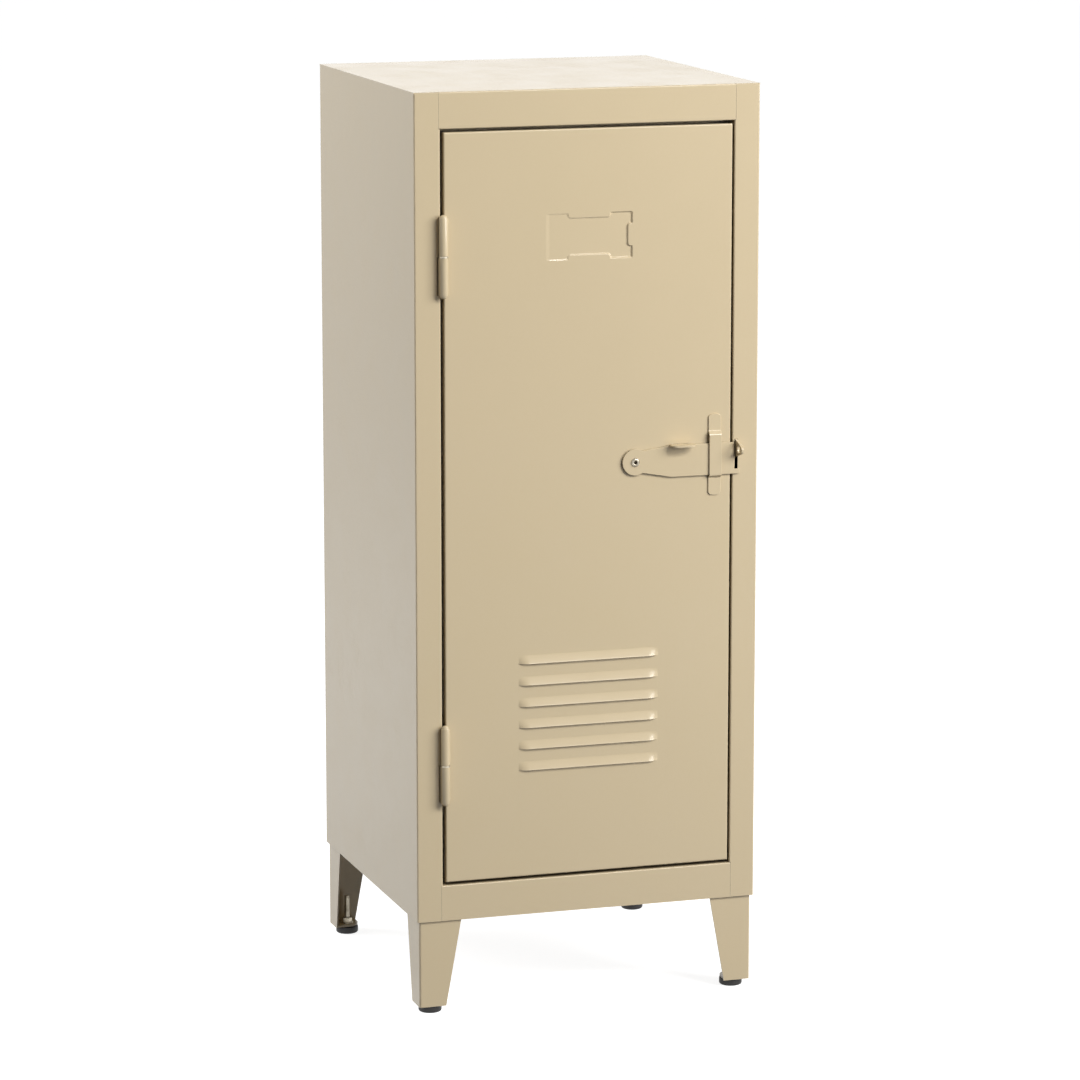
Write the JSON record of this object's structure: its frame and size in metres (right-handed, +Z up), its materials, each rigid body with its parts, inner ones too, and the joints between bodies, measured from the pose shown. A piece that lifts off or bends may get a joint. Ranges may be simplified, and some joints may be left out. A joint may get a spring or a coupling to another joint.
{
  "type": "metal locker",
  "caption": "Narrow free-standing sheet steel locker with a louvred hinged door, padlock latch arm, shelves inside and tapered legs on screw feet.",
  "frame": {"origin": "middle of the overall footprint, on the floor under the foot pads", "axes": "+Z up, the door faces -Y, +X to the right of someone facing the door"},
  "size_m": [0.38, 0.39, 0.985],
  "materials": {
    "body_paint": "warm beige satin paint on pressed sheet steel",
    "plated_steel": "dull zinc plating",
    "rivet_steel": "bright plated hollow rivet",
    "buffer_rubber": "matt rubber strip",
    "foot_rubber": "matt black moulded rubber"
  },
  "bodies": {
    "cabinet": {"left_side_panel": "body_paint", "right_side_panel": "body_paint", "top_panel": "body_paint", "bottom_panel": "body_paint", "back_panel": "body_paint", "shelf_lower": "body_paint", "shelf_upper": "body_paint", "shelf_runners": "body_paint", "door_buffers": "buffer_rubber", "padlock_ear": "body_paint", "hinge_frame_leaves": "body_paint", "hinge_pins": "plated_steel", "hinge_washers": "plated_steel", "foot_nuts": "plated_steel", "leg_front_left": "body_paint", "leg_front_right": "body_paint", "leg_rear_left": "body_paint", "leg_rear_right": "body_paint"},
    "door": {"door_panel": "body_paint", "hinge_door_leaves": "body_paint", "latch_guide_strap": "body_paint", "latch_rivet": "rivet_steel", "latch_spacer": "plated_steel"},
    "latch": {"latch_arm": "body_paint"},
    "foot_pad_front_left": {"foot_pad_front_left": "foot_rubber"},
    "foot_stud_front_left": {"foot_stud_front_left": "plated_steel"},
    "foot_pad_front_right": {"foot_pad_front_right": "foot_rubber"},
    "foot_stud_front_right": {"foot_stud_front_right": "plated_steel"},
    "foot_pad_rear_left": {"foot_pad_rear_left": "foot_rubber"},
    "foot_stud_rear_left": {"foot_stud_rear_left": "plated_steel"},
    "foot_pad_rear_right": {"foot_pad_rear_right": "foot_rubber"},
    "foot_stud_rear_right": {"foot_stud_rear_right": "plated_steel"}
  },
  "joints": [
    {"name": "door_swing", "type": "hinge", "parent": "cabinet", "child": "door", "pos_m": [-0.16, -0.1802, 0.2734], "axis": [0, 0, -1], "range_deg": [0, 170]},
    {"name": "latch_lift", "type": "hinge", "parent": "door", "child": "latch", "pos_m": [0.0516, -0.178, 0.5875], "axis": [0, -1, 0], "range_deg": [0, 5.5]},
    {"name": "foot_height_front_left", "type": "slide", "parent": "cabinet", "child": "foot_pad_front_left", "axis": [0, 0, -1], "range_m": [0, 0.015]},
    {"name": "foot_turn_front_left", "type": "hinge", "parent": "foot_pad_front_left", "child": "foot_stud_front_left", "pos_m": [-0.1712, -0.1562, 0.042], "axis": [0, 0, -1], "range_deg": [0, 5400]},
    {"name": "foot_height_front_right", "type": "slide", "parent": "cabinet", "child": "foot_pad_front_right", "axis": [0, 0, -1], "range_m": [0, 0.015]},
    {"name": "foot_turn_front_right", "type": "hinge", "parent": "foot_pad_front_right", "child": "foot_stud_front_right", "pos_m": [0.1712, -0.1562, 0.042], "axis": [0, 0, -1], "range_deg": [0, 5400]},
    {"name": "foot_height_rear_left", "type": "slide", "parent": "cabinet", "child": "foot_pad_rear_left", "axis": [0, 0, -1], "range_m": [0, 0.015]},
    {"name": "foot_turn_rear_left", "type": "hinge", "parent": "foot_pad_rear_left", "child": "foot_stud_rear_left", "pos_m": [-0.1712, 0.1762, 0.042], "axis": [0, 0, -1], "range_deg": [0, 5400]},
    {"name": "foot_height_rear_right", "type": "slide", "parent": "cabinet", "child": "foot_pad_rear_right", "axis": [0, 0, -1], "range_m": [0, 0.015]},
    {"name": "foot_turn_rear_right", "type": "hinge", "parent": "foot_pad_rear_right", "child": "foot_stud_rear_right", "pos_m": [0.1712, 0.1762, 0.042], "axis": [0, 0, -1], "range_deg": [0, 5400]}
  ],
  "couplings": [
    {"joint": "foot_turn_front_left", "follows": "foot_height_front_left", "rad_per_m": 6283.2},
    {"joint": "foot_turn_front_right", "follows": "foot_height_front_right", "rad_per_m": 6283.2},
    {"joint": "foot_turn_rear_left", "follows": "foot_height_rear_left", "rad_per_m": 6283.2},
    {"joint": "foot_turn_rear_right", "follows": "foot_height_rear_right", "rad_per_m": 6283.2}
  ]
}
